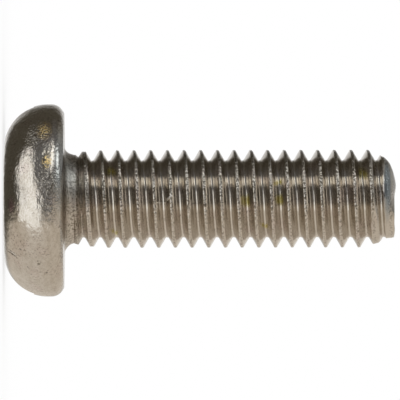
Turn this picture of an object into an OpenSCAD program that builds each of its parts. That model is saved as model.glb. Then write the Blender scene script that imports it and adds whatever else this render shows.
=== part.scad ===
// Slotted pan head machine screw, metric coarse thread, threaded to the head.
// Z runs along the shank from the bearing face under the head (z = 0) to the tip.
// The head hangs below z = 0, so the screw stands on the flat of its head.

/* [Head] */
// Widest diameter of the head
head_d = 11.52; // [10.4:0.02:14]
// Height of the head, from its top to the bearing face
head_h = 3.6; // [3.3:0.05:4.4]
// Height of the widest ring above the bearing face
rim_h = 0.76; // [0.5:0.02:0.8]
// Radius of the lower edge, between the widest ring and the bearing face
rim_r = 0.8; // [0.8:0.05:1.2]
// Height of the straight land between the lower edge and the crown
land_h = 0.24; // [0.05:0.01:0.4]

/* [Driver slot] */
// Width of the slot
slot_w = 1.7; // [1:0.05:2.2]
// Depth of the slot below the top of the head
slot_t = 1.8; // [1:0.05:2.2]

/* [Shank] */
// Length of the shank from the bearing face to the tip
shank_l = 19.9; // [12:0.05:30]
// Diameter of the plain neck under the head
neck_d = 5.3; // [5:0.05:5.4]
// Length of the plain neck, with its fillet
neck_l = 0.7; // [0.6:0.05:2]
// Radius of the fillet between the neck and the head
fillet_r = 0.5; // [0.2:0.05:0.55]
// Length over which the last crests shrink towards the tip
tip_l = 2.2; // [1:0.05:3]
// Crest diameter where the shrinking crests meet the chamfer
tip_d = 4.74; // [4:0.02:5]
// Height of the chamfer that ends the tip
chamfer_h = 0.35; // [0.1:0.05:0.6]

/* [Thread] */
// Diameter over the thread crests
thread_d = 5.86; // [5.7:0.02:6]
// Distance from one crest to the next along the axis
pitch = 1; // [0.75:0.05:1.25]
// Width of the flat on a crest
crest_flat = 0.125; // [0.06:0.005:0.2]
// Width of the flat in a root
root_flat = 0.125; // [0.1:0.005:0.25]
// Length over which the crests grow to full height above the neck
crest_grow_l = 0.8; // [0.5:0.05:2]
// Length over which the roots deepen to full depth above the neck
root_grow_l = 0.5; // [0.3:0.05:1]
// Angle round the axis at which a crest would cross the bearing face
thread_start = 116.6; // [0:0.1:360]

/* [Hidden] */
steel = [0.66, 0.64, 0.61];
// Angle between each flank and the axis
flank_angle = 60;
// Steps in one turn of the thread, and in a full round of the other forms
facets = 30;
round_fn = 96;
// How far a cut or an inner piece runs past the surface it meets
over = 1;
head_r = head_d / 2;
// The crown's arc takes the height that the lower edge and the land leave
crown_r = head_h - rim_h - land_h;
top_r = head_r - crown_r;
neck_r = neck_d / 2;
crest_r = thread_d / 2;
// The flanks meet at a sharp apex outside the crest flat
apex_r = crest_r + crest_flat / 2 * tan(flank_angle);
// Distance along the axis from the apex to the start of the root flat
flank_l = (pitch - root_flat) / 2;
root_r = apex_r - flank_l * tan(flank_angle);
tip_r = tip_d / 2;
// The rod starts a turn below the bearing face and ends past the tip
rod_turns = ceil(shank_l / pitch) + 3;

module disc(r, x, z) {
    translate([x, z]) circle(r, $fn = round_fn);
}

// Section of the head from its axis outwards: flat top, crown arc, land and lower edge
module head_section() {
    crown_z = -head_h + crown_r;
    translate([0, -head_h]) square([top_r, head_h]);
    intersection() {
        disc(crown_r, top_r, crown_z);
        translate([0, -head_h]) square([head_r, crown_r]);
    }
    translate([0, crown_z]) square([head_r, land_h]);
    intersection() {
        disc(rim_r, head_r - rim_r, -rim_h);
        translate([0, -rim_h]) square([head_r, rim_h]);
    }
    translate([0, -rim_h]) square([head_r - rim_r, rim_h]);
}

// Section of the fillet, the plain neck and the cone down to the thread's root
module neck_section() {
    // The cone keeps its slope below the roots, so that it ends inside the thread
    past_root = 1.5;
    difference() {
        translate([0, -over]) square([neck_r + fillet_r, over + fillet_r]);
        disc(fillet_r, neck_r + fillet_r, fillet_r);
    }
    polygon([
        [0, 0], [neck_r, 0], [neck_r, neck_l],
        [neck_r - (neck_r - root_r) * past_root, neck_l + root_grow_l * past_root],
        [0, neck_l + root_grow_l * past_root]
    ]);
}

// Section that the thread is cut to: growing crests, full crests, shrinking crests and chamfer
module thread_limit() {
    polygon([
        [0, fillet_r / 2], [root_r, fillet_r / 2], [neck_r, neck_l], [crest_r, neck_l + crest_grow_l],
        [crest_r, shank_l - tip_l], [tip_r, shank_l - chamfer_h], [tip_r - chamfer_h, shank_l], [0, shank_l]
    ]);
}

// Radius and height of one point of the tooth: lower root, apex or upper root
function tooth(j) = j == 1 ? [apex_r, 0] : [root_r, (j - 1) * flank_l];

// Long right-hand helical rod with sharp crests
module thread_rod(z0) {
    steps = rod_turns * facets;
    points = [
        for (i = [0:steps]) for (j = [0:2]) let (a = 360 * i / facets, t = tooth(j))
            [t[0] * cos(a), t[0] * sin(a), z0 + t[1] + pitch * i / facets]
    ];
    low = len(points);
    high = low + 1;
    last = steps - facets;
    flanks = [
        for (i = [0:steps - 1]) for (j = [0:1]) let (p = 3 * i + j)
            each [[p, p + 1, p + 3], [p + 1, p + 4, p + 3]]
    ];
    roots = [
        for (i = [0:last - 1]) let (p = 3 * i + 2, q = 3 * (i + facets))
            each [[p, q, p + 3], [q, q + 3, p + 3]]
    ];
    foot = concat(
        [for (i = [0:facets - 1]) [low, 3 * i, 3 * i + 3]],
        [[low, 3 * facets, 2], [low, 2, 1], [low, 1, 0]]
    );
    crown = concat(
        [for (i = [last:steps - 1]) [high, 3 * i + 5, 3 * i + 2]],
        [[high, 3 * last + 2, 3 * steps], [high, 3 * steps, 3 * steps + 1], [high, 3 * steps + 1, 3 * steps + 2]]
    );
    ends = [[0, 0, z0], [0, 0, z0 + rod_turns * pitch]];
    polyhedron(points = concat(points, ends), faces = concat(flanks, roots, foot, crown), convexity = 10);
}

module machine_screw() {
    color(steel) difference() {
        union() {
            rotate_extrude($fn = round_fn) head_section();
            rotate_extrude($fn = round_fn) neck_section();
            intersection() {
                rotate([0, 0, thread_start]) thread_rod(-pitch);
                rotate_extrude($fn = round_fn) thread_limit();
            }
        }
        translate([-head_d, -slot_w / 2, -head_h - over]) cube([2 * head_d, slot_w, slot_t + over]);
    }
}

machine_screw();
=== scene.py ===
"""A slotted pan head machine screw in bright, slightly mottled stainless steel, standing on its head.

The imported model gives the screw's size. The thread is swept as one helical skin, shaped towards the neck
and the tip, and carried on round the head, so that the screw is one closed surface in one piece.
"""

import logging
import math
from dataclasses import dataclass
from enum import Enum
from typing import NamedTuple

import bpy
import numpy as np
from mathutils import Matrix, Vector


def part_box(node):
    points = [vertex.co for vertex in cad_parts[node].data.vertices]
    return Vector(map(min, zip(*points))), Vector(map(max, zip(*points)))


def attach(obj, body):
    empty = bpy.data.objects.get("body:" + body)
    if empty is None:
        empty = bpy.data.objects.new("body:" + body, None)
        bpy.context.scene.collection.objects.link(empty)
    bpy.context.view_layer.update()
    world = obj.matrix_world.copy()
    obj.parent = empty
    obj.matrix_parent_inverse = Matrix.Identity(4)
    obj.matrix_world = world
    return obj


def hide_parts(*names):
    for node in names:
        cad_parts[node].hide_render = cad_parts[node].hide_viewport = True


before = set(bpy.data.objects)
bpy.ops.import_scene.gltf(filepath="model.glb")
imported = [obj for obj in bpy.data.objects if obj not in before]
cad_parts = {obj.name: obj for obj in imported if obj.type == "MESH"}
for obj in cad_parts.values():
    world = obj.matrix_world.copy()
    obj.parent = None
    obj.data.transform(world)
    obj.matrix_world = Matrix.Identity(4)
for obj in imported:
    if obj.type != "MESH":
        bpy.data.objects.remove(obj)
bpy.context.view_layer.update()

MM = 0.001
NODE = "machine_screw"

# Names of the values kept on the vertices
DOWN_FLANK = "down_flank"
TIPWARD = "tipward"
TONE = "tone"

# A panel's softness in degrees, divided by this, is the softness of its far and up limits
SOFT_DEGREES = 60

log = logging.getLogger("screw")

Piece = bpy.types.Object
Material = bpy.types.Material
Socket = bpy.types.NodeSocket
Input = Socket | float | tuple[float, ...]
Array = np.ndarray
Point = tuple[float, float]
Range = tuple[float, float]
Triple = tuple[float, float, float]
Colour = tuple[float, float, float, float]

WHITE: Colour = (1, 1, 1, 1)


class Side(Enum):
    """Which side of a cutting plane is thrown away."""

    BELOW = "below"
    ABOVE = "above"


class Tone(Enum):
    """Brightness and colour of one part of the studio, as the steel mirrors it."""

    WHITE = (1.1, 1.1, 1.1)
    PAPER = (0.75, 0.69, 0.61)
    WINDOW = (1.45, 1.48, 1.5)
    STRIP = (2.38, 2.46, 2.46)
    GREY = (0.4, 0.4, 0.39)
    ROOM = (0.18, 0.182, 0.19)
    FLAG = (0.095, 0.087, 0.07)


class Bench:
    """Hand tools: selection, drawing an outline, sweeping, cutting and welding."""

    @staticmethod
    def clear() -> None:
        """Leave edit mode with nothing selected."""
        if bpy.context.object and bpy.context.object.mode != "OBJECT":
            bpy.ops.object.mode_set(mode="OBJECT")
        bpy.ops.object.select_all(action="DESELECT")

    @staticmethod
    def pick(piece: Piece) -> None:
        """Make one piece the only selected and active object.

        Args:
            piece: the object to select.
        """
        Bench.clear()
        piece.select_set(True)
        bpy.context.view_layer.objects.active = piece

    @staticmethod
    def points(piece: Piece) -> Array:
        """Read where the piece's vertices are.

        Args:
            piece: the mesh object.

        Returns:
            Rows of x, y, z.
        """
        flat = np.empty(len(piece.data.vertices) * 3)
        piece.data.vertices.foreach_get("co", flat)
        return flat.reshape(-1, 3)

    @staticmethod
    def set_points(piece: Piece, points: Array) -> None:
        """Move the piece's vertices to rows of x, y, z."""
        piece.data.vertices.foreach_set("co", points.ravel())
        piece.data.update()

    @staticmethod
    def edit(piece: Piece, chosen: Array | None = None) -> None:
        """Open a piece in edit mode with the chosen vertices selected.

        Args:
            piece: the mesh object.
            chosen: a mask over its vertices, or None for all of them.
        """
        Bench.pick(piece)
        bpy.ops.object.mode_set(mode="EDIT")
        bpy.ops.mesh.select_mode(type="VERT")
        bpy.ops.mesh.select_all(action="SELECT" if chosen is None else "DESELECT")
        if chosen is None:
            return
        bpy.ops.object.mode_set(mode="OBJECT")
        piece.data.vertices.foreach_set("select", chosen)
        bpy.ops.object.mode_set(mode="EDIT")

    @staticmethod
    def outline(name: str, points: list[Point]) -> Piece:
        """Draw an open outline in the XZ plane, vertex by vertex.

        Args:
            name: the new object's name.
            points: distance from the axis and height of each vertex.

        Returns:
            The outline's object.
        """
        Bench.clear()
        bpy.ops.mesh.primitive_plane_add(size=MM, location=(0, 0, 0))
        piece = bpy.context.object
        piece.name = name
        bpy.ops.object.mode_set(mode="EDIT")
        bpy.ops.mesh.select_all(action="SELECT")
        bpy.ops.mesh.merge(type="CENTER")
        r, z = points[0]
        bpy.ops.transform.translate(value=(r, 0, z))
        for (r0, z0), (r1, z1) in zip(points, points[1:]):
            step = (r1 - r0, 0, z1 - z0)
            bpy.ops.mesh.extrude_region_move(TRANSFORM_OT_translate={"value": step})
        bpy.ops.object.mode_set(mode="OBJECT")
        return piece

    @staticmethod
    def weld(piece: Piece, gap: float = 0.001 * MM) -> None:
        """Merge the piece's vertices that lie close together, and turn its faces outwards.

        Args:
            piece: the mesh object.
            gap: how far apart two vertices that become one may be.
        """
        Bench.edit(piece)
        bpy.ops.mesh.remove_doubles(threshold=gap)
        bpy.ops.mesh.normals_make_consistent(inside=False)
        bpy.ops.object.mode_set(mode="OBJECT")

    @staticmethod
    def trim(piece: Piece, z: float, side: Side) -> None:
        """Cut a piece along a level plane and throw one side away.

        Args:
            piece: the mesh object.
            z: height of the plane.
            side: the side that goes.
        """
        Bench.edit(piece)
        bpy.ops.mesh.bisect(
            plane_co=(0, 0, z), plane_no=(0, 0, 1), threshold=1e-5 * MM,
            clear_inner=side is Side.BELOW, clear_outer=side is Side.ABOVE,
        )
        bpy.ops.object.mode_set(mode="OBJECT")

    @staticmethod
    def copy_ring(piece: Piece, z: float, name: str) -> Piece:
        """Copy a level ring of edges into an object of its own.

        Args:
            piece: the mesh object with the ring.
            z: the ring's height.
            name: the new object's name.

        Returns:
            The ring's object.
        """
        Bench.edit(piece, np.abs(Bench.points(piece)[:, 2] - z) < 1e-4 * MM)
        bpy.ops.mesh.duplicate()
        bpy.ops.mesh.separate(type="SELECTED")
        bpy.ops.object.mode_set(mode="OBJECT")
        ring = next(o for o in bpy.context.selected_objects if o is not piece)
        ring.name = name
        return ring

    @staticmethod
    def draw_out(ring: Piece, points: list[Point]) -> None:
        """Extrude a ring round the axis through a list of radii and heights, and close its last loop.

        Args:
            ring: object of one level ring of edges.
            points: radius and height of each loop, starting at the ring itself.
        """
        Bench.edit(ring)
        for (r0, z0), (r1, z1) in zip(points, points[1:]):
            bpy.ops.mesh.extrude_region_move(TRANSFORM_OT_translate={"value": (0, 0, z1 - z0)})
            bpy.ops.transform.resize(value=(r1 / r0, r1 / r0, 1), center_override=(0, 0, z1))
        bpy.ops.mesh.extrude_region_move()
        bpy.ops.mesh.merge(type="CENTER")
        bpy.ops.object.mode_set(mode="OBJECT")

    @staticmethod
    def join(keep: Piece, *others: Piece) -> None:
        """Join other pieces into one and weld the seams.

        Args:
            keep: the piece that takes the others in.
            others: the pieces that become part of it.
        """
        Bench.pick(keep)
        for other in others:
            other.select_set(True)
        bpy.ops.object.join()
        Bench.weld(keep)


def arc(centre: Point, radius: float, start: float, end: float, steps: int) -> list[Point]:
    """Points along an arc in the XZ plane, with its angles in degrees from the outward radius.

    Args:
        centre: distance from the axis and height of the arc's centre.
        radius: the arc's radius.
        start: angle of the first point.
        end: angle of the last point.
        steps: number of stretches.

    Returns:
        steps + 1 points.
    """
    angles = [math.radians(start + (end - start) * i / steps) for i in range(steps + 1)]
    return [(centre[0] + radius * math.cos(a), centre[1] + radius * math.sin(a)) for a in angles]


def soft_min(a: Array, b: Array, blend: float) -> Array:
    """The smaller of two values, with the corner where they cross rounded over a blend distance."""
    near = np.maximum(blend - np.abs(a - b), 0) / blend
    return np.minimum(a, b) - near * near * blend / 4


def soft_max(a: Array, b: Array, blend: float) -> Array:
    """The larger of two values, with the corner where they cross rounded over a blend distance."""
    return -soft_min(-a, -b, blend)


def smooth_step(value: Array) -> Array:
    """A smooth rise from 0 to 1 as the value goes from 0 to 1."""
    share = np.clip(value, 0, 1)
    return share * share * (3 - 2 * share)


def hill(place: Array, centre: float, width: float) -> Array:
    """A smooth bump of height 1 at a centre."""
    return np.exp(-(((place - centre) / width) ** 2) / 2)


@dataclass
class PanHead:
    """The domed head: bearing face, lower edge, land, crown and flat top.

    The fillet's points are pairs of radius and height in mm. The loops on the bearing face and on the flat
    top are shares of their widths. All other sizes are in metres.
    """

    head_r: float
    height: float
    neck_top: float = 0.6 * MM
    fillet: tuple[Point, ...] = (
        (2.65, 0.6), (2.67, 0.52), (2.69, 0.45), (2.73, 0.36), (2.78, 0.28), (2.84, 0.21),
        (2.905, 0.15), (2.985, 0.095), (3.08, 0.045), (3.18, 0.012), (3.28, 0.0),
    )
    rim_h: float = 0.76 * MM
    rim_r: float = 0.8 * MM
    land_h: float = 0.24 * MM
    slot_w: float = 1.7 * MM
    slot_t: float = 1.8 * MM
    bearing_loops: tuple[float, ...] = (0.25, 0.5, 0.75, 0.93)
    rim_steps: int = 14
    crown_steps: int = 40
    top_loops: tuple[float, ...] = (0.9, 0.75, 0.6, 0.45, 0.3, 0.15, 0.05)

    @property
    def crown_r(self) -> float:
        """Radius of the crown's arc: the height that the lower edge and the land leave."""
        return self.height - self.rim_h - self.land_h

    def loops(self) -> list[Point]:
        """Work out the loops from the neck round the head to near its centre.

        Returns:
            Radius and height of each loop.
        """
        meet = math.degrees(math.asin(self.rim_h / self.rim_r))
        crown = (self.head_r - self.crown_r, self.crown_r - self.height)
        loops = [(r * MM, z * MM) for r, z in self.fillet]
        bearing_r = self.head_r - self.rim_r + self.rim_r * math.cos(math.radians(meet))
        inner_r = loops[-1][0]
        loops += [(inner_r + (bearing_r - inner_r) * share, 0.0) for share in self.bearing_loops]
        loops += arc((self.head_r - self.rim_r, -self.rim_h), self.rim_r, meet, 0, self.rim_steps)
        loops += arc(crown, self.crown_r, 0, -90, self.crown_steps)
        loops += [(crown[0] * share, -self.height) for share in self.top_loops]
        return loops

    def build(self, neck_ring: Piece) -> None:
        """Draw the neck's ring out into the whole head."""
        Bench.draw_out(neck_ring, self.loops())

    def cut_slot(self, screw: Piece) -> None:
        """Mill the driver slot across the head.

        Args:
            screw: the whole screw.
        """
        Bench.clear()
        size = (4 * self.head_r, self.slot_w, 2 * self.slot_t)
        bpy.ops.mesh.primitive_cube_add(size=1, location=(0, 0, -self.height), scale=size)
        cutter = bpy.context.object
        Bench.pick(screw)
        cut = screw.modifiers.new("slot", "BOOLEAN")
        cut.operation = "DIFFERENCE"
        cut.solver = "EXACT"
        cut.object = cutter
        bpy.ops.object.modifier_apply(modifier=cut.name)
        bpy.data.objects.remove(cutter, do_unlink=True)


@dataclass(frozen=True)
class Swell:
    """A low rise or hollow in the end face: height, and centre and reach along X and Y, all in mm."""

    height: float
    centre: Point
    reach: Point

    def over(self, x: Array, y: Array) -> Array:
        """Height of the swell at each place.

        Args:
            x: the places along X, in metres.
            y: the places along Y, in metres.

        Returns:
            The heights, in mm.
        """
        along_x = hill(x, self.centre[0] * MM, self.reach[0] * MM)
        along_y = hill(y, self.centre[1] * MM, self.reach[1] * MM)
        return self.height * along_x * along_y


@dataclass
class Thread:
    """The threaded shank: a tooth swept up a helix, limited towards the neck and the tip.

    The outlines are pairs in mm: height and radius in run_out and roots_in, depth below the end and radius
    in worn_side and sound_side. Places on the tooth are shares of the pitch from the crest's middle, and
    end_loops are shares of the tip's radius. All other sizes are in metres.
    """

    length: float
    crest_r: float = 2.94 * MM
    pitch: float = 1.0 * MM
    crest_flat: float = 0.125 * MM
    root_flat: float = 0.125 * MM
    flank_angle: float = 60.0
    crest_round: float = 0.03 * MM
    root_round: float = 0.03 * MM
    shoulder_round: float = 0.06 * MM
    round_probes: int = 4
    root_drop: float = 0.005 * MM
    root_tilt: float = 0.25
    tilt_reach: float = 0.08 * MM
    crest_places: tuple[float, ...] = (0, 0.035, 0.06, 0.075, 0.09, 0.115)
    head_flank_places: tuple[float, ...] = (0.16, 0.25, 0.33, 0.355, 0.375, 0.395, 0.415, 0.435, 0.46, 0.48)
    tip_flank_places: tuple[float, ...] = (0.16, 0.25, 0.34, 0.41, 0.435, 0.455, 0.48)
    start_z: float = 0.676 * MM
    turns_below: int = 2
    steps: int = 128
    neck_r: float = 2.65 * MM
    neck_end: float = 0.62 * MM
    run_out: tuple[Point, ...] = ((0.55, 2.65), (0.75, 2.7), (1.05, 2.84), (1.75, 2.85), (2.3, 2.93))
    roots_in: tuple[Point, ...] = ((0.68, 2.65), (1.15, 2.26))
    roots_in_end: float = 2.0 * MM
    root_blend: float = 0.06 * MM
    crest_blend: float = 0.04 * MM
    rod_end: float = 0.3 * MM
    worn_side: tuple[Point, ...] = (
        (2.0, 2.95), (1.3, 2.94), (0.95, 2.6), (0.9, 2.56), (0.76, 2.505), (0.64, 2.4), (0.52, 2.295),
        (0.4, 2.14), (0.34, 2.03), (0.28, 1.88), (0.22, 1.73), (0.16, 1.53), (0.1, 1.28), (0.05, 1.06),
        (0.01, 0.72), (0, 0),
    )
    sound_side: tuple[Point, ...] = (
        (1.8, 2.95), (1.6, 2.9), (1.5, 2.8), (1.42, 2.73), (1.3, 2.71), (1.06, 2.65), (0.95, 2.55),
        (0.55, 2.375), (0.2, 2.355), (0.14, 2.32), (0.1, 2.25), (0.075, 2.1), (0.03, 1.2), (0.01, 0.72),
        (0, 0),
    )
    worn_at: float = 190.0
    worn_reach: float = 0.35
    worn_blend: float = 0.6
    end_drop: float = 0.135 * MM
    end_blend: float = 0.03 * MM
    end_levels: int = 90
    end_loops: tuple[float, ...] = (
        1, 0.985, 0.97, 0.95, 0.93, 0.9, 0.86, 0.81, 0.75, 0.68, 0.6, 0.5, 0.4, 0.3, 0.2, 0.1, 0.04,
    )
    knob: Swell = Swell(0.12, (-0.8, -0.2), (0.4, 1.1))
    lip: Swell = Swell(0.045, (1.95, 0), (0.22, math.inf))
    dish: Swell = Swell(-0.02, (0.8, 0.3), (0.6, 0.9))
    offset: float = 0.08 * MM
    offset_grow: float = 0.03 * MM
    offset_rise: float = 0.4 * MM

    @property
    def slope(self) -> float:
        """Rise of a flank per unit along the axis."""
        return math.tan(math.radians(self.flank_angle))

    @property
    def root_r(self) -> float:
        """Radius of the flat at the bottom of the grooves."""
        return self.crest_r - (self.pitch - self.crest_flat - self.root_flat) / 2 * self.slope

    @property
    def end_level(self) -> float:
        """Height at which the swept thread ends and the tip's end face is drawn in."""
        return self.length - self.rod_end

    def tooth(self) -> list[Point]:
        """Outline one tooth from root to root, with its corners rounded and its roots a little tilted.

        Returns:
            Radius of each point, and its distance along the axis from the crest's middle.
        """
        headward = [-share for share in reversed(self.crest_places[1:] + self.head_flank_places)]
        shares = [-0.5] + headward + list(self.crest_places + self.tip_flank_places) + [0.5]
        probes = range(-self.round_probes, self.round_probes + 1)
        points = []
        for z in [share * self.pitch for share in shares]:
            down = abs(z) / (self.pitch / 2)
            corner = self.shoulder_round if z > 0 else self.crest_round
            blur = corner + (self.root_round - corner) * down
            around = [self.flanks(z + blur * probe / self.round_probes) for probe in probes]
            points.append((sum(around) / len(around), z))
        return points

    def flanks(self, z: float) -> float:
        """Radius of the sharp-cornered tooth.

        Args:
            z: distance along the axis from the crest's middle.

        Returns:
            The radius there.
        """
        z -= self.pitch * round(z / self.pitch)
        apex = self.crest_r + self.crest_flat / 2 * self.slope
        past_root = z + self.pitch / 2 if z < 0 else z - self.pitch / 2
        floor = self.root_r - self.root_drop + self.root_tilt * max(past_root + self.tilt_reach, 0)
        return min(max(apex - abs(z) * self.slope, floor), self.crest_r)

    def sweep(self) -> Piece:
        """Sweep the tooth up the helix as one skin, from inside the head to past the tip.

        Returns:
            The skin's object.
        """
        first = self.start_z - self.turns_below * self.pitch
        rod = Bench.outline("threaded_shank", [(r, z + first) for r, z in self.tooth()])
        Bench.pick(rod)
        helix = rod.modifiers.new("helix", "SCREW")
        helix.axis = "Z"
        helix.angle = 2 * math.pi
        helix.screw_offset = self.pitch
        helix.iterations = math.ceil(self.length / self.pitch) + self.turns_below + 1
        helix.steps = helix.render_steps = self.steps
        helix.use_smooth_shade = False
        bpy.ops.object.modifier_apply(modifier=helix.name)
        Bench.weld(rod)
        return rod

    def worn(self, angle: Array) -> Array:
        """How much of the tip's worn side shows at each angle round the axis."""
        return smooth_step((np.cos(angle - math.radians(self.worn_at)) + self.worn_reach) / self.worn_blend)

    def side_radius(self, side: tuple[Point, ...], z: Array) -> Array:
        """Largest radius at each height on one side of the tip, which is listed by depth below the end."""
        depths, radii = np.flip(np.array(side), axis=0).T * MM
        return np.interp(self.length - z, depths, radii)

    def tip_radius(self, z: Array, angle: Array) -> Array:
        """Largest radius at each place on the tip, where its worn side passes into its sound side.

        Args:
            z: height of each place.
            angle: its angle round the axis, in radians.

        Returns:
            The radii.
        """
        share = self.worn(angle)
        worn, sound = (self.side_radius(side, z) for side in (self.worn_side, self.sound_side))
        return worn * share + sound * (1 - share)

    def limit_crests(self, z: Array, angle: Array) -> Array:
        """Largest radius at each place: crests growing above the neck and shrinking to the tip."""
        starts = np.interp(z, *(np.array(self.run_out).T * MM))
        return np.minimum(starts, self.tip_radius(z, angle))

    def limit_roots(self, z: Array) -> Array:
        """Smallest radius at each height: the plain neck, and the roots deepening above it."""
        return np.interp(z, *(np.array(self.roots_in).T * MM))

    def limit_height(self, radius: Array, angle: Array) -> Array:
        """Height at which the tip has shrunk to each radius.

        Args:
            radius: distance of each place from the axis.
            angle: its angle round the axis, in radians.

        Returns:
            The heights.
        """
        levels = np.linspace(self.end_level, self.length, self.end_levels)
        limits = self.tip_radius(levels, angle[:, None])
        return np.array([np.interp(-r, -row, levels) for r, row in zip(radius, limits)])

    def shape(self, rod: Piece) -> None:
        """Draw the skin in to the neck, the run-out and the tip.

        Args:
            rod: the swept skin.
        """
        x, y, z = Bench.points(rod).T
        radius = np.hypot(x, y)
        deepened = soft_max(radius, self.limit_roots(z), self.root_blend)
        shaped = np.where(z < self.roots_in_end, deepened, radius)
        shaped = soft_min(shaped, self.limit_crests(z, np.arctan2(y, x)), self.crest_blend)
        shaped = np.where(z < self.neck_end, self.neck_r, shaped)
        Bench.set_points(rod, np.column_stack([x * shaped / radius, y * shaped / radius, z]))

    def off_axis(self, z: Array) -> Array:
        """How far the shank's centre lies off the head's centre at each height, against X."""
        rise = np.clip(z / self.offset_rise, 0, 1)
        return rise * (self.offset + self.offset_grow * np.clip(z / self.length, 0, 1))

    def lean(self, screw: Piece) -> None:
        """Set the shank a little off the head's centre, as headed blanks come.

        Args:
            screw: the whole screw.
        """
        points = Bench.points(screw)
        points[:, 0] -= self.off_axis(points[:, 2])
        Bench.set_points(screw, points)

    def mark_flanks(self, screw: Piece) -> None:
        """Keep on each vertex its place on the tooth, as two values.

        One runs from 0 on a crest to 1 in a root. The other runs from -1 halfway down the flank that
        faces the head to 1 halfway down the flank that faces the tip.

        Args:
            screw: the whole screw, its shank already off the head's centre.
        """
        x, y, z = Bench.points(screw).T
        x = x + self.off_axis(z)
        turns = (z - self.start_z) / self.pitch - np.arctan2(y, x) / (2 * math.pi)
        places = {
            DOWN_FLANK: 2 * np.abs(turns - np.round(turns)),
            TIPWARD: np.sin(2 * math.pi * turns),
        }
        for name, values in places.items():
            layer = screw.data.attributes.new(name, "FLOAT", "POINT")
            layer.data.foreach_set("value", values)

    def close_tip(self, ring: Piece) -> None:
        """Draw the tip's ring in over the end face, which is worn on one side and slightly uneven.

        Args:
            ring: object of the ring in which the swept thread ends.
        """
        seam = len(ring.data.vertices)
        Bench.draw_out(ring, [(share, self.end_level) for share in self.end_loops])
        points = Bench.points(ring)
        x, y, _ = points.T
        uneven = self.knob.over(x, y) + self.lip.over(x, y) + self.dish.over(x, y)
        end = self.length - self.end_drop + uneven * MM
        height = soft_min(end, self.limit_height(np.hypot(x, y), np.arctan2(y, x)), self.end_blend)
        points[seam:, 2] = np.maximum(height, self.end_level)[seam:]
        Bench.set_points(ring, points)


@dataclass(frozen=True)
class Mark:
    """One stain, tint, painted reflection or scratch: its centre and its reach along each axis in mm, and
    its turn in degrees.

    It is even over its core, a share of its reach, and fades from there to its edge.
    """

    centre: Triple
    radii: Triple
    turn: Triple = (0.0, 0.0, 0.0)
    core: float = 0.2
    strength: float = 1.0


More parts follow.
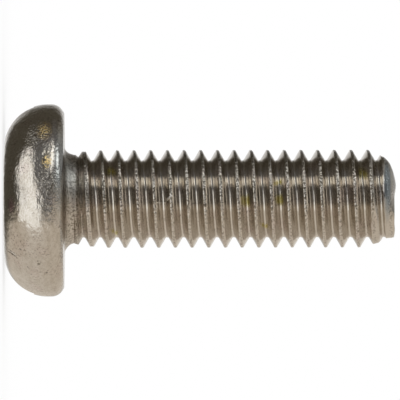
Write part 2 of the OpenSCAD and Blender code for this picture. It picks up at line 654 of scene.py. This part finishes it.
@dataclass(frozen=True)
class Recipe:
    """Short ways to add and join the nodes of one material."""

    tree: bpy.types.NodeTree

    @classmethod
    def fresh(cls, owner: Material | bpy.types.World) -> "Recipe":
        """Clear the nodes of a material or world, ready for new ones.

        Args:
            owner: the material or world.

        Returns:
            A recipe that fills its nodes.
        """
        owner.use_nodes = True
        owner.node_tree.nodes.clear()
        return cls(owner.node_tree)

    def add(self, kind: str, settings: dict[str, str] | None = None, **inputs: Input) -> bpy.types.Node:
        """Add a node, set its options, and fill or link its inputs.

        Args:
            kind: the node's type.
            settings: options of the node itself.
            inputs: a value or an output socket for each input, by name or number, with underscores.

        Returns:
            The new node.
        """
        node = self.tree.nodes.new(kind)
        for name, value in (settings or {}).items():
            setattr(node, name, value)
        for name, value in inputs.items():
            socket = node.inputs[int(name[1:]) if name[1:].isdigit() else name.replace("_", " ")]
            if isinstance(value, Socket):
                self.tree.links.new(value, socket)
            else:
                socket.default_value = value
        return node

    def attribute(self, name: str, output: str = "Fac") -> Socket:
        """A value kept on the mesh's vertices."""
        return self.add("ShaderNodeAttribute", {"attribute_name": name}).outputs[output]

    def math(self, operation: str, first: Input, second: Input = 0.0) -> Socket:
        """The result of one Math node."""
        return self.add("ShaderNodeMath", {"operation": operation}, _0=first, _1=second).outputs[0]

    def noise(self, place: Socket, scale: float, detail: float, roughness: float) -> Socket:
        """A noise value around 0.5 at each place."""
        node = self.add("ShaderNodeTexNoise", Vector=place, Scale=scale, Detail=detail, Roughness=roughness)
        return node.outputs["Fac"]

    def ramp(self, value: Socket, low: float, high: float, to_low: float = 0, to_high: float = 1) -> Socket:
        """A value mapped from one range to another, held at its ends."""
        ends = {"From_Min": low, "From_Max": high, "To_Min": to_low, "To_Max": to_high}
        return self.add("ShaderNodeMapRange", Value=value, **ends).outputs[0]

    def mix(self, share: Socket, first: Input, second: Input) -> Socket:
        """Two colours mixed by a share."""
        return self.add("ShaderNodeMix", {"data_type": "RGBA"}, _0=share, _6=first, _7=second).outputs[2]

    def hump(self, value: Socket, centre: float, width: float) -> Socket:
        """1 where a value is at the centre, falling to 0 at half the width to each side."""
        return self.ramp(self.math("ABSOLUTE", self.math("SUBTRACT", value, centre)), width / 2, 0)

    def centred(self, noise: Socket) -> Socket:
        """A noise moved to lie around 0, so that it leaves the mean height alone."""
        return self.math("SUBTRACT", noise, 0.5)

    def chain(self, operation: str, parts: tuple[Input, ...]) -> Socket:
        """Join values one after another with the same operation.

        Args:
            operation: the Math nodes' operation.
            parts: values or output sockets, an output socket first.

        Returns:
            The result.
        """
        result = parts[0]
        for part in parts[1:]:
            result = self.math(operation, result, part)
        return result

    def total(self, *parts: Input) -> Socket:
        """The sum of several values."""
        return self.chain("ADD", parts)

    def product(self, *parts: Input) -> Socket:
        """The product of several values."""
        return self.chain("MULTIPLY", parts)

    def most(self, *parts: Input) -> Socket:
        """The largest of several values."""
        return self.chain("MAXIMUM", parts)

    def stretched(self, place: Socket, *scale: float) -> Socket:
        """The places scaled along each axis, which makes a pattern finer there."""
        return self.add("ShaderNodeMapping", Vector=place, Scale=scale).outputs[0]

    def spot(self, place: Socket, mark: Mark) -> Socket:
        """Find where a mark lies.

        Args:
            place: the places on the surface.
            mark: the mark.

        Returns:
            The mark's strength over its core, falling to 0 at its edge.
        """
        centre = tuple(c * MM for c in mark.centre)
        turn = tuple(math.radians(t) for t in mark.turn)
        radii = tuple(r * MM for r in mark.radii)
        local = self.add(
            "ShaderNodeMapping", {"vector_type": "TEXTURE"},
            Vector=place, Location=centre, Rotation=turn, Scale=radii,
        )
        away = self.add("ShaderNodeVectorMath", {"operation": "LENGTH"}, _0=local.outputs[0])
        return self.ramp(away.outputs["Value"], 1, mark.core, to_high=mark.strength)

    def spots(self, place: Socket, marks: tuple[Mark, ...]) -> Socket:
        """The strongest of several marks at each place."""
        return self.most(*[self.spot(place, mark) for mark in marks])


GOLD_STAINS = (
    Mark((-4.19, -3.95, -1.12), (0.85, 1.0, 0.55), core=0.3),
    Mark((-2.3, -5.29, -1.0), (0.46, 0.6, 0.36), core=0.3),
)
ROOT_STAINS = (
    Mark((0.0, -2.4, 11.05), (0.5, 0.8, 0.24), core=0.4),
    Mark((-0.05, -2.4, 12.98), (0.45, 0.8, 0.2), core=0.4),
    Mark((-1.1, -2.2, 12.95), (0.22, 0.6, 0.2)),
    Mark((1.98, -1.3, 3.14), (0.22, 0.8, 0.16)),
    Mark((1.55, -1.8, 12.1), (0.2, 0.8, 0.16)),
    Mark((-1.7, -1.7, 17.7), (0.5, 0.9, 0.3)),
    Mark((-1.8, -1.7, 2.7), (0.4, 0.9, 0.4)),
)
# Blue-grey marks: the one on the tip's end is a painted dark bluish reflection of the end chamfer; the
# other two tint the rim and the neck blue-grey
BLUE_TINTS_AND_REFLECTION = (
    Mark((-2.0, -5.0, -0.2), (3.2, 2.6, 0.5), core=0.4, strength=0.6),
    Mark((-1.5, -2.3, 0.3), (1.9, 1.6, 0.9), strength=0.35),
    Mark((-0.9, -1.9, 19.33), (2.4, 1.9, 0.28), core=0.5),
)
BROWN_STAINS = (Mark((-2.4, -5.25, -0.96), (0.82, 0.95, 0.31), core=0.5, strength=0.85),)
VIOLET_TINTS = (Mark((0.3, -4.68, -3.1), (0.6, 0.8, 0.3)),)
SCUFFS = (
    Mark((-4.1, -3.86, -1.6), (1.3, 2.2, 1.0), core=0.4),
    Mark((-2.7, -5.0, -1.75), (1.0, 1.5, 0.45), core=0.4, strength=0.3),
    Mark((-0.4, -5.6, -0.45), (1.7, 2.0, 0.6), core=0.4, strength=0.7),
    Mark((3.0, -4.6, -0.2), (2.2, 2.5, 0.5), strength=0.5),
    Mark((-0.5, -2.0, 19.75), (2.8, 2.6, 0.45), core=0.4, strength=0.5),
)
CRUMPLES = (Mark((-0.9, -5.5, -0.95), (1.5, 1.6, 0.75), core=0.3),)
PITS = (
    Mark((3.78, -4.29, -1.45), (0.1, 0.2, 0.13)),
    Mark((3.62, -4.42, -1.52), (0.06, 0.1, 0.06)),
    Mark((2.5, -5.1, -2.3), (0.08, 0.1, 0.07)),
    Mark((3.3, -4.6, -0.62), (0.07, 0.1, 0.08)),
    Mark((-2.5, -4.9, -2.55), (0.09, 0.2, 0.07)),
    Mark((3.2, -3.5, -3.03), (0.5, 0.7, 0.035), (0, -54, 0), core=0.5),
    Mark((3.3, -3.6, -2.62), (0.2, 0.6, 0.03), (0, -66, 0), core=0.5),
    Mark((3.98, -3.6, -2.1), (0.14, 0.6, 0.04), (0, -40, 0), core=0.4),
    Mark((2.9, -4.4, -2.55), (0.05, 0.6, 0.1), (0, 20, 0), core=0.4),
    Mark((4.3, -3.7, -1.0), (0.06, 0.6, 0.1), (0, -20, 0), core=0.4),
)
SCRATCHES = (
    Mark((3.15, -3.5, -2.96), (0.48, 0.6, 0.04), (0, -54, 0), core=0.4),
    Mark((-0.12, -2.75, 6.25), (0.24, 0.6, 0.07), (0, 40, 0), core=0.5),
    Mark((-0.28, -2.75, 6.42), (0.12, 0.6, 0.08), (0, -30, 0), core=0.5),
    Mark((0.14, -2.75, 6.05), (0.1, 0.6, 0.06), (0, 60, 0), core=0.5),
)


class Zones:
    """Where a point of the surface lies, and how much it belongs to each stretch, from 0 to 1."""

    def __init__(self, r: Recipe) -> None:
        """Find each stretch by height and by place on the tooth.

        Args:
            r: recipe of the steel's nodes.
        """
        self.place = r.add("ShaderNodeTexCoord").outputs["Object"]
        self.x, _, self.z = r.add("ShaderNodeSeparateXYZ", Vector=self.place).outputs
        self.down = r.attribute(DOWN_FLANK)
        self.tipward = r.attribute(TIPWARD)
        self.head = r.ramp(self.z, 0.1 * MM, -0.15 * MM)
        self.neck = r.product(r.ramp(self.z, -0.2 * MM, 0.1 * MM), r.ramp(self.z, 1.4 * MM, 0.85 * MM))
        self.thread = r.ramp(self.z, 0.6 * MM, 1.0 * MM)
        self.crest = r.product(self.thread, r.ramp(self.down, 0.22, 0.1))
        self.ridge = r.product(self.thread, r.ramp(self.tipward, 0.1, 0.5), r.hump(self.down, 0.6, 0.12))


class Patterns:
    """The steel's fine patterns: noises around 0.5, and veins and specks as shares from 0 to 1."""

    def __init__(self, r: Recipe, place: Socket) -> None:
        """Add the patterns, with their scales in repeats to a metre.

        Args:
            r: recipe of the steel's nodes.
            place: the places on the surface.
        """
        branches = r.noise(r.stretched(place, 0.8, 1, 1.4), scale=2300, detail=3, roughness=0.6)
        self.dents = r.noise(r.stretched(place, 1, 1, 1.5), scale=1700, detail=2, roughness=0.5)
        self.wrinkles = r.noise(r.stretched(place, 1, 1, 1.4), scale=5200, detail=2, roughness=0.6)
        self.veins = r.hump(branches, centre=0.5, width=0.1)
        self.grain = r.noise(place, scale=14000, detail=2, roughness=0.6)
        self.dots = r.noise(place, scale=8500, detail=2, roughness=0.5)
        self.patches = r.noise(place, scale=900, detail=3, roughness=0.55)
        self.streaks = r.noise(r.stretched(place, 0.35, 0.35, 1), scale=3200, detail=3, roughness=0.6)
        self.rings = r.noise(r.stretched(place, 0.15, 0.15, 1), scale=9000, detail=2, roughness=0.6)
        self.specks = r.product(r.ramp(self.dots, 0.58, 0.68), r.ramp(self.patches, 0.4, 0.6))


class Blemishes:
    """Where each stain, tint, painted reflection, pit and scratch shows, as shares from 0 to 1."""

    def __init__(self, r: Recipe, zone: Zones, pattern: Patterns) -> None:
        """Place the blemishes, some of them broken up by a pattern.

        Args:
            r: recipe of the steel's nodes.
            zone: stretches of the surface.
            pattern: fine patterns.
        """
        place = zone.place
        self.gold = r.product(r.spots(place, GOLD_STAINS), r.ramp(pattern.dots, 0.42, 0.52))
        self.olive = r.product(r.spots(place, ROOT_STAINS), r.ramp(zone.down, 0.5, 0.75), zone.thread)
        self.blue = r.spots(place, BLUE_TINTS_AND_REFLECTION)
        self.brown = r.spots(place, BROWN_STAINS)
        self.violet = r.spots(place, VIOLET_TINTS)
        self.pits = r.product(r.spots(place, PITS), r.ramp(pattern.grain, 0.3, 0.5))
        self.scuffs = r.spots(place, SCUFFS)
        self.crumples = r.spots(place, CRUMPLES)
        self.scratch = r.spots(place, SCRATCHES)


class Surface(NamedTuple):
    """The nodes that the steel's looks depend on."""

    r: Recipe
    zone: Zones
    pattern: Patterns
    mark: Blemishes


@dataclass(frozen=True)
class Relief:
    """Heights of the steel's fine relief in mm, and the share of its grain that the thread keeps.

    The rings are lower on the flanks that face the head than on those that face the tip.
    """

    dents: float = 0.04
    wrinkles: float = 0.012
    veins: float = -0.0015
    grain: float = 0.0025
    grain_on_thread: float = 0.4
    neck_nubs: float = 0.035
    crest_grain: float = 0.018
    crest_nubs: float = 0.045
    scuffs: float = 0.06
    crumples: float = 0.03
    rings: Range = (0.003, 0.007)
    streaks: float = 0.006
    ridge: float = 0.009
    gold_grain: float = 0.03
    scratch: float = 0.02
    pits: float = -0.02


@dataclass(frozen=True)
class StainlessSteel:
    """Bright stainless steel with a dented, mottled head, a grainy neck, speckled crests with painted shade
    towards -X, stains, a painted bluish reflection on the tip's end, and pits.
    """

    steel: Colour = (0.56, 0.515, 0.455, 1)
    dark: Colour = (0.42, 0.375, 0.31, 1)
    pink: Colour = (0.57, 0.48, 0.44, 1)
    blue: Colour = (0.31, 0.34, 0.355, 1)
    bright: Colour = (0.9, 0.87, 0.82, 1)
    gold: Colour = (0.95, 0.7, 0.32, 1)
    olive: Colour = (0.5, 0.43, 0.12, 1)
    violet: Colour = (0.6, 0.25, 0.42, 1)
    pit: Colour = (0.12, 0.1, 0.07, 1)
    smooth: float = 0.1
    rough: float = 0.2
    neck_rough: float = 0.32
    gold_rough: float = 0.4
    olive_rough: float = 0.42
    scratch_rough: float = 0.6
    relief: Relief = Relief()

    def colour(self, surface: Surface) -> Socket:
        """Lay the tints over the plain steel, one after another, each by its share.

        Args:
            surface: nodes that the looks depend on.

        Returns:
            The steel's colour.
        """
        r, zone, pattern, mark = surface
        # Dark specks on the crests: partly their real rough seam, and thicker towards -X as painted shade
        # on the crests on that side
        crest_specks_and_shade = r.ramp(zone.x, 1.0 * MM, 0.1 * MM, 0.35, 0.85)
        tints = (
            (r.ramp(pattern.streaks, 0.46, 0.66, to_high=0.45), self.dark),
            (r.product(r.ramp(pattern.wrinkles, 0.5, 0.66), zone.head, 0.55), self.dark),
            (r.product(pattern.veins, zone.head, r.ramp(pattern.patches, 0.3, 0.6), 0.8), self.dark),
            (r.product(mark.crumples, r.ramp(pattern.wrinkles, 0.45, 0.6), 0.65), self.pit),
            (r.product(zone.neck, r.ramp(pattern.dots, 0.45, 0.58), 0.7), self.pit),
            (r.product(zone.crest, r.ramp(pattern.dots, 0.48, 0.56), crest_specks_and_shade), self.pit),
            (r.ramp(pattern.patches, 0.5, 0.75, to_high=0.5), self.pink),
            # Blue-grey tints, and on the tip's end a painted dark bluish reflection
            (mark.blue, self.blue),
            (r.product(mark.violet, 0.35), self.violet),
            (r.product(mark.scratch, 0.8), self.bright),
            (mark.brown, self.pit),
            (mark.gold, self.gold),
            (r.product(mark.olive, 0.85), self.olive),
            (r.most(mark.pits, r.product(pattern.specks, 0.7)), self.pit),
        )
        colour = self.steel
        for share, tint in tints:
            colour = r.mix(share, colour, tint)
        return colour

    def roughness(self, surface: Surface) -> Socket:
        """Vary the polish in patches, and dull the neck, the stains and the scratches.

        Args:
            surface: nodes that the looks depend on.

        Returns:
            The steel's roughness.
        """
        r, zone, pattern, mark = surface
        return r.most(
            r.ramp(pattern.patches, 0.35, 0.65, self.smooth, self.rough),
            r.product(mark.gold, self.gold_rough),
            r.product(zone.neck, self.neck_rough),
            r.product(mark.scratch, self.scratch_rough),
            r.product(mark.olive, self.olive_rough),
        )

    def height(self, surface: Surface) -> Socket:
        """Add up the fine relief of the whole surface.

        Args:
            surface: nodes that the looks depend on.

        Returns:
            The height of the relief, in mm.
        """
        r, zone, pattern, mark = surface
        nubs = r.centred(pattern.dots)
        fine = r.centred(pattern.grain)
        sandy = r.ramp(zone.z, 0.3 * MM, 0.6 * MM, 1, self.relief.grain_on_thread)
        return r.total(
            r.product(zone.head, pattern.dents, self.relief.dents),
            r.product(zone.head, pattern.wrinkles, self.relief.wrinkles),
            r.product(zone.head, pattern.veins, self.relief.veins),
            r.product(sandy, pattern.grain, self.relief.grain),
            r.product(zone.neck, nubs, self.relief.neck_nubs),
            r.product(zone.crest, fine, self.relief.crest_grain),
            r.product(zone.crest, nubs, self.relief.crest_nubs),
            r.product(mark.scuffs, nubs, self.relief.scuffs),
            r.product(mark.crumples, r.centred(pattern.wrinkles), self.relief.crumples),
            r.product(zone.thread, pattern.rings, r.ramp(zone.tipward, -0.2, 0.6, *self.relief.rings)),
            r.product(zone.thread, pattern.streaks, self.relief.streaks),
            r.product(zone.ridge, self.relief.ridge),
            r.product(mark.gold, fine, self.relief.gold_grain),
            r.product(mark.scratch, self.relief.scratch),
            r.product(mark.pits, self.relief.pits),
        )

    def material(self) -> Material:
        """Build the node material.

        Returns:
            The steel.
        """
        steel = bpy.data.materials.new("stainless_steel")
        r = Recipe.fresh(steel)
        zone = Zones(r)
        pattern = Patterns(r, zone.place)
        surface = Surface(r, zone, pattern, Blemishes(r, zone, pattern))
        bump = r.add("ShaderNodeBump", Strength=1.0, Distance=MM, Height=self.height(surface))
        shader = r.add(
            "ShaderNodeBsdfPrincipled", Base_Color=self.colour(surface), Metallic=1.0,
            Roughness=self.roughness(surface), Normal=bump.outputs[0],
        )
        r.add("ShaderNodeOutputMaterial", Surface=shader.outputs[0])
        return steel


@dataclass
class MachineScrew:
    """The whole screw: one closed surface made of the thread, the head and the tip."""

    thread: Thread
    head: PanHead
    finish: StainlessSteel = StainlessSteel()
    smooth_angle: float = 35.0

    def build(self) -> Piece:
        """Build, cut and dress the screw.

        Returns:
            The finished mesh object.
        """
        screw = self.thread.sweep()
        self.thread.shape(screw)
        Bench.trim(screw, self.head.neck_top, Side.BELOW)
        Bench.trim(screw, self.thread.end_level, Side.ABOVE)
        neck = Bench.copy_ring(screw, self.head.neck_top, "head")
        tip = Bench.copy_ring(screw, self.thread.end_level, "tip")
        self.head.build(neck)
        self.thread.close_tip(tip)
        Bench.join(screw, neck, tip)
        self.thread.lean(screw)
        self.head.cut_slot(screw)
        self.thread.mark_flanks(screw)
        Bench.pick(screw)
        bpy.ops.object.shade_smooth_by_angle(angle=math.radians(self.smooth_angle))
        screw.name = screw.data.name = "pan_head_screw"
        screw.data.materials.clear()
        screw.data.materials.append(self.finish.material())
        return screw


@dataclass(frozen=True)
class Panel:
    """One soft-edged patch of the tent, from one azimuth and elevation to another, in degrees.

    Azimuth runs round the screw from the camera towards the picture's top. Elevation runs up the shank, to
    the picture's right, and a leaning panel's elevations move with the azimuth. The far and up limits are
    shares of the tent's radius, away from the camera and towards the picture's top.
    """

    tone: Tone
    start: float
    end: float
    low: float
    high: float
    soft: float = 5.0
    strength: float = 1.0
    lean: float = 0.0
    soft_ends: float | None = None
    far: Range = (-2.0, 2.0)
    up: Range = (-2.0, 2.0)

    def weight(self, way: Array) -> Array:
        """How much of the panel's tone shows in each direction.

        Args:
            way: unit vectors from the screw, as rows of x, y, z.

        Returns:
            Shares from 0 to strength.
        """
        up, far, right = -way[:, 0], way[:, 1], way[:, 2]
        azimuth = np.degrees(np.arctan2(up, -far))
        leaning = self.lean * (azimuth - (self.start + self.end) / 2)
        elevation = np.degrees(np.arcsin(np.clip(right, -1, 1))) - leaning
        across = self.between(azimuth, (self.start, self.end), self.soft_ends or self.soft)
        along = self.between(elevation, (self.low, self.high), self.soft)
        behind = self.between(far, self.far, self.soft / SOFT_DEGREES)
        above = self.between(up, self.up, self.soft / SOFT_DEGREES)
        return self.strength * across * along * behind * above

    @staticmethod
    def between(value: Array, limits: Range, soft: float) -> Array:
        """1 between two limits and 0 outside, with smooth edges centred on them."""
        low, high = limits
        return smooth_step((value - low) / soft / 2 + 0.5) * smooth_step((high - value) / soft / 2 + 0.5)


PANELS = (
    # Lighter paper towards the head, and the dark room and black flags above the screw
    Panel(Tone.WHITE, -150, -20, -48, -4, 12, 0.22),
    Panel(Tone.ROOM, -17, 104, -100, 100, 10),
    Panel(Tone.FLAG, 72, 172, -50, -6, 9, 0.8),
    Panel(Tone.FLAG, 96, 220, -100, 100, 6),
    Panel(Tone.ROOM, 60, 112, -18, 40, 12, 0.6),
    Panel(Tone.GREY, -21, 40, -12, 44, 8, 0.2),
    # Strip light: the bright band along the thread, and the small highlight on the head's lower edge
    Panel(Tone.STRIP, 37, 60, -1, 10, 3),
    Panel(Tone.STRIP, 46, 70, 7, 30, 5, 0.85),
    Panel(Tone.STRIP, 54, 84, 42, 64, 6),
    # Window with a bar: the large highlight on the crown
    Panel(Tone.WINDOW, -38, 104, -75, -51, 5, lean=-0.05),
    Panel(Tone.WINDOW, -38, 76, -60, -32.5, 5),
    Panel(Tone.WINDOW, -38, 24, -42, -18, 5, lean=-0.15),
    Panel(Tone.ROOM, -10, 40, -64, -57, 4, 0.4, lean=-0.1),
    # Greyed paper past the tip
    Panel(Tone.GREY, -40, 46, 44, 100, 8, 0.7),
    Panel(Tone.PAPER, -40, 10, 30, 100, 12, 0.6),
    # Behind the screw: flags and greys for the dark outlines, and white for the light ones
    Panel(Tone.FLAG, -200, 62, -100, 10, 7, far=(-0.15, 2), up=(-0.18, 2)),
    Panel(Tone.FLAG, 50, 200, -100, 10, 7, far=(-0.05, 2), up=(-0.15, 2)),
    Panel(Tone.GREY, -200, 200, 38, 100, 8, 0.9, far=(0.04, 2), up=(-0.3, 2)),
    Panel(Tone.GREY, 164, 220, 16, 66, 5, soft_ends=14),
    Panel(Tone.WHITE, 162, 220, -22, 18, 5, soft_ends=22),
    Panel(Tone.WHITE, -220, -172, -25, 50, 6),
)


@dataclass(frozen=True)
class PaintedCard:
    """Card that glows in the tones painted on its mesh."""

    name: str

    def material(self) -> Material:
        """Build the node material.

        Returns:
            The card.
        """
        card = bpy.data.materials.new(self.name)
        r = Recipe.fresh(card)
        shader = r.add("ShaderNodeEmission", Color=r.attribute(TONE, "Color"))
        r.add("ShaderNodeOutputMaterial", Surface=shader.outputs[0])
        return card


@dataclass(frozen=True)
class PaleFloor:
    """White card that shows the camera a light shadow, and nothing from below."""

    glow: float = 0.7

    def material(self) -> Material:
        """Build the node material.

        Returns:
            The card.
        """
        pale = bpy.data.materials.new("pale_floor")
        r = Recipe.fresh(pale)
        seen = r.add("ShaderNodeLightPath").outputs["Is Camera Ray"]
        card = r.add("ShaderNodeBsdfDiffuse", Color=WHITE).outputs[0]
        glow = r.add("ShaderNodeEmission").outputs[0]
        top = r.add("ShaderNodeMixShader", _0=r.product(seen, self.glow), _1=card, _2=glow).outputs[0]
        under = r.add("ShaderNodeNewGeometry").outputs["Backfacing"]
        clear = r.add("ShaderNodeBsdfTransparent").outputs[0]
        shader = r.add("ShaderNodeMixShader", _0=under, _1=top, _2=clear)
        r.add("ShaderNodeOutputMaterial", Surface=shader.outputs[0])
        return pale


@dataclass
class Studio:
    """Pale floor and white background, inside a painted tent that only the steel mirrors."""

    floor_z: float
    floor_gap: float = 0.02 * MM
    floor_r: float = 0.2
    floor_sides: int = 64
    tent_r: float = 0.12
    tent_segments: int = 240
    tent_rings: int = 120

    def tent(self) -> Piece:
        """Put the screw in a ball of paper, and paint its lights, flags and dark room panel by panel.

        Returns:
            The tent.
        """
        Bench.clear()
        bpy.ops.mesh.primitive_uv_sphere_add(
            segments=self.tent_segments, ring_count=self.tent_rings, radius=self.tent_r, location=(0, 0, 0),
        )
        tent = bpy.context.object
        tent.name = "tent"
        way = Bench.points(tent) / self.tent_r
        colours = np.tile((*Tone.PAPER.value, 1.0), (len(way), 1))
        for panel in PANELS:
            weight = panel.weight(way)[:, None]
            colours = colours * (1 - weight) + np.array((*panel.tone.value, 1.0)) * weight
        layer = tent.data.color_attributes.new(TONE, "FLOAT_COLOR", "POINT")
        layer.data.foreach_set("color", colours.ravel())
        tent.data.materials.append(PaintedCard(tent.name).material())
        tent.visible_camera = tent.visible_diffuse = tent.visible_shadow = False
        return tent

    def floor(self) -> Piece:
        """Lay the pale floor under the head.

        Returns:
            The floor.
        """
        Bench.clear()
        bpy.ops.mesh.primitive_circle_add(
            vertices=self.floor_sides, radius=self.floor_r, fill_type="NGON", location=(0, 0, 0),
        )
        floor = bpy.context.object
        floor.name = "floor"
        floor.data.transform(Matrix.Translation((0, 0, self.floor_z - self.floor_gap)))
        floor.data.materials.append(PaleFloor().material())
        floor.visible_glossy = False
        return floor

    def world(self) -> None:
        """Plain white all round, for the camera, for reflections and as soft light."""
        world = bpy.data.worlds.new("studio")
        bpy.context.scene.world = world
        r = Recipe.fresh(world)
        shader = r.add("ShaderNodeBackground", Color=WHITE)
        r.add("ShaderNodeOutputWorld", Surface=shader.outputs[0])

    def build(self) -> tuple[Piece, ...]:
        """Set up the background, the floor and the tent.

        Returns:
            The floor and the tent.
        """
        self.world()
        return self.floor(), self.tent()


@dataclass
class Camera:
    """A long lens level with the screw, turned so that the screw lies with its head on the left."""

    distance: float = 0.6
    view_w: float = 23.97 * MM
    look_x: float = -0.024 * MM
    look_z: float = 8.14 * MM
    sensor: float = 36.0
    clip: Range = (0.01, 10.0)

    def build(self) -> None:
        """Create the scene's camera."""
        data = bpy.data.cameras.new("camera")
        data.sensor_width = self.sensor
        data.lens = self.sensor * self.distance / self.view_w
        data.clip_start, data.clip_end = self.clip
        camera = bpy.data.objects.new("camera", data)
        bpy.context.scene.collection.objects.link(camera)
        right = Vector((0, 0, 1))
        up = Vector((-1, 0, 0))
        turn = Matrix((right, up, right.cross(up))).transposed().to_4x4()
        camera.matrix_world = Matrix.Translation((self.look_x, -self.distance, self.look_z)) @ turn
        bpy.context.scene.camera = camera


def main() -> None:
    """Build the camera, the studio and the screw, and hand the screw to the frame."""
    logging.basicConfig(level=logging.INFO)
    low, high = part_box(NODE)
    Camera().build()
    for card in Studio(floor_z=low[2]).build():
        log.info("%s: %d faces", card.name, len(card.data.polygons))
    screw = MachineScrew(Thread(length=high[2]), PanHead(head_r=high[0], height=-low[2])).build()
    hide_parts(NODE)
    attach(screw, "root")
    log.info("%s: %d faces", screw.name, len(screw.data.polygons))
    bpy.context.scene.view_settings.view_transform = "Standard"


if __name__ == "__main__":
    main()
